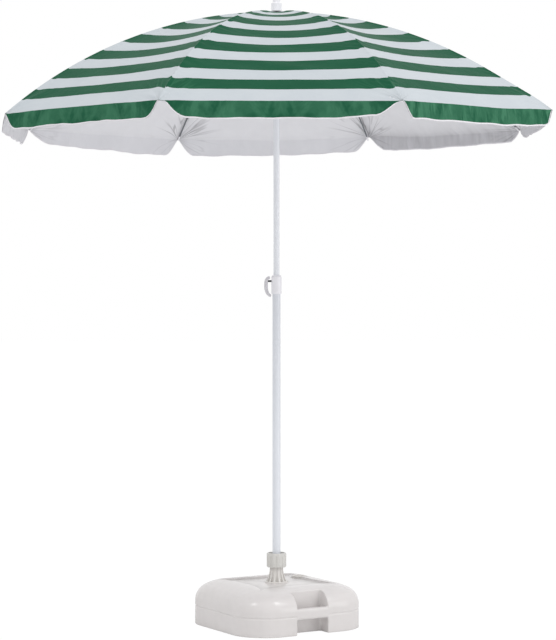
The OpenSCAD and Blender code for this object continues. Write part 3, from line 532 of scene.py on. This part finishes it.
def creases(tree):
    """The folds in the cloth: their height in the surface, the sharp lines that fan out
    from a rib tip, the bunches in slack cloth, and how slack it is, each from 0 to 1."""
    way = add_node(tree, "ShaderNodeUVMap", uv_map="tip").outputs["UV"]
    place = add_node(tree, "ShaderNodeTexCoord").outputs["Object"]
    slack = add_node(tree, "ShaderNodeAttribute", attribute_name="gathered").outputs["Fac"]

    # lines that fan out: a noise that changes mostly with the angle round the rib tip
    reach = add_node(tree, "ShaderNodeVectorMath", links={0: way}, operation="LENGTH").outputs["Value"]
    parts = add_node(tree, "ShaderNodeSeparateXYZ", links={0: way}).outputs
    turn = add_node(tree, "ShaderNodeMath", links={0: parts["X"], 1: parts["Y"]},
                    operation="ARCTAN2").outputs[0]
    where = add_node(tree, "ShaderNodeSeparateXYZ", links={0: place}).outputs["X"]
    where = add_node(tree, "ShaderNodeMath", {1: 0.4}, {0: where}, operation="MULTIPLY").outputs[0]
    polar = add_node(tree, "ShaderNodeCombineXYZ", links={"X": turn, "Y": reach, "Z": where})
    fan = add_node(tree, "ShaderNodeTexNoise", {"Scale": 4.5, "Detail": 1, "Roughness": 0.4},
                   {"Vector": polar.outputs[0]}).outputs["Fac"]
    near = add_node(tree, "ShaderNodeMapRange", {1: 0.03, 2: 0.17, 3: 1.0, 4: 0.0}, {0: reach},
                    interpolation_type="SMOOTHSTEP").outputs[0]
    slope = add_node(tree, "ShaderNodeMath", links={0: turn}, operation="ABSOLUTE").outputs[0]
    upright = add_node(tree, "ShaderNodeMapRange", {1: 0.5, 2: 1.6, 3: 1.0, 4: 0.3},
                       {0: slope}).outputs[0]
    spread = add_node(tree, "ShaderNodeMath", links={0: near, 1: upright},
                      operation="MULTIPLY").outputs[0]
    fanned = add_node(tree, "ShaderNodeMath", links={0: fan, 1: spread},
                      operation="MULTIPLY").outputs[0]
    off = add_node(tree, "ShaderNodeMath", {1: 0.5}, {0: fan}, operation="SUBTRACT").outputs[0]
    off = add_node(tree, "ShaderNodeMath", links={0: off}, operation="ABSOLUTE").outputs[0]
    line = add_node(tree, "ShaderNodeMapRange", {1: 0.0, 2: 0.05, 3: 1.0, 4: 0.0},
                    {0: off}).outputs[0]
    line = add_node(tree, "ShaderNodeMath", links={0: line, 1: spread},
                    operation="MULTIPLY").outputs[0]

    # bunches in slack cloth: a noise of about 24 mm, which is 42 to the metre, drawn out
    # along the rib
    upward = add_node(tree, "ShaderNodeVectorMath", {1: (1, 0.2, 0)}, {0: way},
                      operation="MULTIPLY").outputs[0]
    gather = add_node(tree, "ShaderNodeTexNoise", {"Scale": 42, "Detail": 3, "Roughness": 0.5,
                                                   "Distortion": 0.6}, {"Vector": upward})
    bunched = add_node(tree, "ShaderNodeMath", links={0: gather.outputs["Fac"], 1: slack},
                       operation="MULTIPLY").outputs[0]
    height = add_node(tree, "ShaderNodeMath", links={0: fanned, 1: bunched},
                      operation="ADD").outputs[0]
    return height, line, bunched, slack


def green_stripes(tree, parts, place):
    """1 where the cloth is green and 0 where it is white, and 1 on the valance and 0 above
    it, from the stripe's number. The stripes' edges wander by a few millimetres."""
    wander = add_node(tree, "ShaderNodeTexNoise", {"Scale": 30, "Detail": 3}, {"Vector": place})
    drift = add_node(tree, "ShaderNodeMath", {1: 0.05, 2: -0.025}, {0: wander.outputs["Fac"]},
                     operation="MULTIPLY_ADD").outputs[0]
    count = add_node(tree, "ShaderNodeMath", links={0: parts["Y"], 1: drift},
                     operation="ADD").outputs[0]
    pair = add_node(tree, "ShaderNodeMath", {1: 0.5}, {0: count}, operation="MULTIPLY").outputs[0]
    cycle = add_node(tree, "ShaderNodeMath", links={0: pair}, operation="FRACT").outputs[0]
    odd = add_node(tree, "ShaderNodeMath", {1: 0.5}, {0: cycle},
                   operation="GREATER_THAN").outputs[0]
    hangs = add_node(tree, "ShaderNodeMath", {1: 0.0}, {0: parts["Y"]},
                     operation="LESS_THAN").outputs[0]
    is_green = add_node(tree, "ShaderNodeMath", links={0: odd, 1: hangs},
                        operation="MAXIMUM").outputs[0]
    return is_green, hangs


# Striped polyester: a close plain weave with hardly any gloss, green and white in turn,
# with highlights painted in a paler green in streaks on the gathered valance and along the sharp folds
striped, tree, shader = new_finish(
    "polyester, woven and striped", {"Roughness": 0.45, "IOR": 1.5, "Specular IOR Level": 0.03})
chart = add_node(tree, "ShaderNodeUVMap", uv_map="cut").outputs["UV"]
parts = add_node(tree, "ShaderNodeSeparateXYZ", links={0: chart}).outputs
place = add_node(tree, "ShaderNodeTexCoord").outputs["Object"]
is_green, hangs = green_stripes(tree, parts, place)
height, line, bunched, _ = creases(tree)

# the dye is cloudy in patches of 70 mm, and painted highlights run in streaks down the gathered cloth
cloud = add_node(tree, "ShaderNodeTexNoise", {"Scale": 14, "Detail": 5},
                 {"Vector": place}).outputs["Fac"]
green = add_node(tree, "ShaderNodeMix", {6: linear("#1c523a"), 7: linear("#255d44")},
                 {0: cloud}, data_type="RGBA").outputs[2]
white = add_node(tree, "ShaderNodeMix", {6: linear("#ccd2d6"), 7: linear("#c1c8ce")},
                 {0: cloud}, data_type="RGBA").outputs[2]
drawn_down = add_node(tree, "ShaderNodeVectorMath", {1: (1, 0.03, 1)}, {0: chart},
                      operation="MULTIPLY").outputs[0]
streak = add_node(tree, "ShaderNodeTexNoise", {"Scale": 15, "Detail": 6, "Roughness": 0.6,
                                               "Distortion": 0.8}, {"Vector": drawn_down})
streak_highlight = add_node(tree, "ShaderNodeMapRange", {1: 0.42, 2: 0.66, 4: 0.75},
                   {0: streak.outputs["Fac"]}).outputs[0]
streak_highlight = add_node(tree, "ShaderNodeMath", links={0: streak_highlight, 1: hangs},
                   operation="MULTIPLY").outputs[0]
# painted highlights: the green is mixed towards a paler green where the cloth bunches and along the
# sharp folds
bunch_highlight = add_node(tree, "ShaderNodeMapRange", {1: 0.42, 2: 0.56, 4: 0.9}, {0: bunched}).outputs[0]
fold_highlight = add_node(tree, "ShaderNodeMath", {1: 0.6}, {0: line, 2: bunch_highlight},
                  operation="MULTIPLY_ADD").outputs[0]
pale = add_node(tree, "ShaderNodeMath", links={0: streak_highlight, 1: fold_highlight},
                operation="MAXIMUM").outputs[0]
green = add_node(tree, "ShaderNodeMix", {7: linear("#457c60")}, {0: pale, 6: green},
                 data_type="RGBA").outputs[2]
dyed = add_node(tree, "ShaderNodeMix", links={0: is_green, 6: white, 7: green}, data_type="RGBA")
tree.links.new(dyed.outputs[2], shader.inputs["Base Color"])

# the weave is too fine to show, so soft crumples of about 22 mm stand for it
crumple = add_node(tree, "ShaderNodeTexNoise", {"Scale": 45, "Detail": 5, "Distortion": 0.8},
                   {"Vector": place}).outputs["Fac"]
bump = add_node(tree, "ShaderNodeBump", {"Strength": 1, "Distance": 0.0011}, {"Height": crumple})
bump = add_node(tree, "ShaderNodeBump", {"Strength": 1, "Distance": 0.004},
                {"Height": height, "Normal": bump.outputs["Normal"]})
tree.links.new(bump.outputs["Normal"], shader.inputs["Normal"])

# The coated side: a silver-white film on the cloth, matt and finely crinkled, with shade
# painted in dark lines along its sharp folds and over its gathered cloth
silver, tree, shader = new_finish(
    "polyester, silver coated", {"Roughness": 0.55, "IOR": 1.5, "Specular IOR Level": 0.3})
mottle(tree, shader, "#ebebef", "#e2e2e6", patch=0.05, grain=0.018, depth=0.0008,
       ripple=0.05, ripple_depth=0.003)
height, line, bunched, slack = creases(tree)
# painted shade: the coat is darkened towards #858388 along the fold lines and where the cloth is
# gathered
gather_shade = add_node(tree, "ShaderNodeMath", {1: 0.12}, {0: slack}, operation="MULTIPLY").outputs[0]
gather_shade = add_node(tree, "ShaderNodeMath", {1: 0.5}, {0: bunched, 2: gather_shade},
                  operation="MULTIPLY_ADD").outputs[0]
fold_shade = add_node(tree, "ShaderNodeMath", {1: 0.9}, {0: line, 2: gather_shade},
                operation="MULTIPLY_ADD", use_clamp=True).outputs[0]
tone = shader.inputs["Base Color"].links[0].from_socket
shaded_coat = add_node(tree, "ShaderNodeMix", {7: linear("#858388")}, {0: fold_shade, 6: tone},
                   data_type="RGBA")
tree.links.new(shaded_coat.outputs[2], shader.inputs["Base Color"])
crinkle = shader.inputs["Normal"].links[0].from_socket
bump = add_node(tree, "ShaderNodeBump", {"Strength": 1, "Distance": 0.004},
                {"Height": height, "Normal": crinkle})
tree.links.new(bump.outputs["Normal"], shader.inputs["Normal"])

# Polyester tape: woven white, folded over the hem, with no shine. Its weave is drawn at
# 1.2 mm, coarser than it is, so that it shows
tape, tree, shader = new_finish("polyester tape, woven white", {"Roughness": 0.7, "IOR": 1.5,
                                                                "Specular IOR Level": 0.3})
mottle(tree, shader, "#eceaee", "#dddbe0", patch=0.01, grain=0.0012, depth=0.0001)


def cloth_faces(rows, columns):
    """Faces of a sheet with a thickness: its outside, its inside and the edge round both,
    and for each the material: 0 for the striped side, 1 for the silver one, 2 for tape."""
    size = rows * columns
    number = np.arange(size).reshape(rows, columns)
    outside = np.stack([number[:-1, :-1], number[1:, :-1], number[1:, 1:], number[:-1, 1:]], -1)
    outside = outside.reshape(-1, 4)
    inside = outside[:, ::-1] + size
    edge = np.concatenate([number[0, :-1], number[:-1, -1], number[-1, :0:-1], number[:0:-1, 0]])
    after = np.roll(edge, -1)
    rim = np.stack([edge, after, after + size, edge + size], -1)
    bound = np.repeat(np.arange(rows - 1), columns - 1) >= rows - 4
    kind = np.concatenate([np.where(bound, 2, 0), np.where(bound, 2, 1), np.full(len(rim), 2)])
    return np.concatenate([outside, inside, rim]), kind


def add_chart(mesh, name, across, down, corner):
    """A UV map that gives every corner of the mesh two values of the cloth at its point."""
    values = np.stack([np.tile(across.ravel(), 2), np.tile(down.ravel(), 2)], -1)[corner]
    layer = mesh.uv_layers.new(name=name)
    layer.data.foreach_set("uv", values.astype(np.float32).ravel())


def cloth_mesh(k):
    """The mesh of the cloth on both sides of rib k, from the middle of one gore to the
    middle of the next, and the area of its outside in square metres."""
    before, after = gores[k - 2], gores[k - 1]
    top, stripe, seam, above, gathered = (
        np.concatenate([before[n][:, HALF:], after[n][:, 1:HALF + 1]], axis=1) for n in range(5))
    normal = np.concatenate([slopes[k - 2][:, HALF:], slopes[k - 1][:, 1:HALF + 1]], axis=1)
    rows, columns = top.shape[:2]
    proud = np.zeros(rows)
    proud[-3:-1] = TAPE_PROUD
    outer = top + normal * proud[:, None, None]
    inner = top - normal * (CLOTH + proud)[:, None, None]
    points = np.concatenate([outer.reshape(-1, 3), inner.reshape(-1, 3)])
    faces, kind = cloth_faces(rows, columns)
    mesh = bpy.data.meshes.new(f"canopy_section_{k}")
    mesh.from_pydata(points.tolist(), [], faces.tolist())
    for finish in (striped, silver, tape):
        mesh.materials.append(finish)
    mesh.polygons.foreach_set("material_index", kind)
    mesh.polygons.foreach_set("use_smooth", np.ones(len(faces), bool))
    corner = np.zeros(len(mesh.loops), int)
    mesh.loops.foreach_get("vertex_index", corner)
    add_chart(mesh, "cut", seam, stripe, corner)
    hand = np.concatenate([-np.ones(HALF + 1), np.ones(HALF)])   # under 0 before the rib
    add_chart(mesh, "tip", hand * seam, above, corner)
    slack = mesh.attributes.new("gathered", "FLOAT", "POINT")
    slack.data.foreach_set("value", np.tile(gathered.ravel(), 2))
    both = np.concatenate([normal.reshape(-1, 3), -normal.reshape(-1, 3)])
    mesh.normals_split_custom_set_from_vertices(both.tolist())

    d1 = top[1:, 1:] - top[:-1, :-1]
    d2 = top[1:, :-1] - top[:-1, 1:]
    return mesh, float(np.linalg.norm(np.cross(d1, d2), axis=2).sum() / 2)


# The sections hang on one rib each and turn with it when the frame folds
for k in range(1, RIBS + 1):
    mesh, area = cloth_mesh(k)
    section = bpy.data.objects.new(f"canopy_section_{k}", mesh)
    bpy.context.scene.collection.objects.link(section)
    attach(section, f"rib_{k}")
    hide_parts(f"canopy_{k}")
    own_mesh(section)


# ---- Crown washer and finial ----
# A rubber washer seals the crown, and a white ABS knob is pushed into the top of the
# upper tube to hold the cloth down on the hub.

finish_node(black_rubber, "crown_washer")
finish_node(white_abs, "finial")


# ---- Studio ----
# A pale floor that the umbrella stands on, in a white surround. Of the three soft lamps
# the key is on the right, the fill on the left, and the low one lights the underside
# from the right.

floor_mesh = bpy.data.meshes.new("studio_floor")
floor_mesh.from_pydata([(-30, -30, 0), (30, -30, 0), (30, 30, 0), (-30, 30, 0)], [], [(0, 1, 2, 3)])
floor = bpy.data.objects.new("studio_floor", floor_mesh)
bpy.context.scene.collection.objects.link(floor)
# Studio paper: matt and nearly white, and to the camera it glows, so that no edge shows
paper, tree, shader = new_finish("studio paper, white", {"Roughness": 0.9})
shader.inputs["Base Color"].default_value = linear("#f4f4f4")
glow = add_node(tree, "ShaderNodeEmission", {"Color": (1, 1, 1, 1), "Strength": 1.03})
rays = add_node(tree, "ShaderNodeLightPath")
seen = add_node(tree, "ShaderNodeMath", {1: 0.93}, {0: rays.outputs["Is Camera Ray"]},
                operation="MULTIPLY").outputs[0]
mix = add_node(tree, "ShaderNodeMixShader",
               links={0: seen, 1: shader.outputs[0], 2: glow.outputs[0]})
tree.links.new(mix.outputs[0], tree.nodes["Material Output"].inputs["Surface"])
floor_mesh.materials.append(paper)

world = bpy.data.worlds.new("studio surround")
bpy.context.scene.world = world
world.use_nodes = True
tree = world.node_tree
surround = tree.nodes["Background"]
surround.inputs["Color"].default_value = (1, 1, 1, 1)
surround.inputs["Strength"].default_value = 0.72
backdrop = add_node(tree, "ShaderNodeBackground", {"Color": (1, 1, 1, 1), "Strength": 1.0})
rays = add_node(tree, "ShaderNodeLightPath")
mirrored = add_node(tree, "ShaderNodeMath", links={0: rays.outputs["Is Camera Ray"],
                    1: rays.outputs["Is Glossy Ray"]}, operation="MAXIMUM").outputs[0]
seen = add_node(tree, "ShaderNodeMath", links={0: mirrored, 1: rays.outputs["Is Transmission Ray"]},
                operation="MAXIMUM").outputs[0]
mix = add_node(tree, "ShaderNodeMixShader",
               links={0: seen, 1: surround.outputs[0], 2: backdrop.outputs[0]})
tree.links.new(mix.outputs[0], tree.nodes["World Output"].inputs["Surface"])


def soft_lamp(name, place, aim, size, power):
    """A square lamp that faces the point it is aimed at, in metres and watts."""
    lamp = bpy.data.lights.new(name, "AREA")
    lamp.size, lamp.energy = size, power
    holder = bpy.data.objects.new(name, lamp)
    bpy.context.scene.collection.objects.link(holder)
    holder.location = place
    holder.rotation_euler = (Vector(aim) - Vector(place)).to_track_quat("-Z", "Y").to_euler()


soft_lamp("key lamp", (3.6, -2.6, 5.0), (0, 0, 0.9), 2.0, 82)
soft_lamp("fill lamp", (-3.2, -3.0, 5.0), (0, 0, 0.9), 2.0, 62)
soft_lamp("low lamp", (4.2, -2.0, 0.7), (0, 0, 1.2), 2.4, 30)

# The camera stands in front, level with the height lock, and looks slightly down
EYE_DISTANCE, EYE_HEIGHT = 6.525, 1.077
EYE_ASIDE = 0.0047
EYE_TURN = math.radians(0.85)
EYE_DIP = math.radians(1.105)
lens = bpy.data.cameras.new("camera")
lens.sensor_width, lens.lens = 36, 117.8
lens.clip_end = 100
eye = bpy.data.objects.new("camera", lens)
bpy.context.scene.collection.objects.link(eye)
eye.location = (EYE_ASIDE - EYE_DISTANCE * math.sin(EYE_TURN),
                -EYE_DISTANCE * math.cos(EYE_TURN), EYE_HEIGHT)
eye.rotation_euler = (math.radians(90) - EYE_DIP, 0, -EYE_TURN)
bpy.context.scene.camera = eye
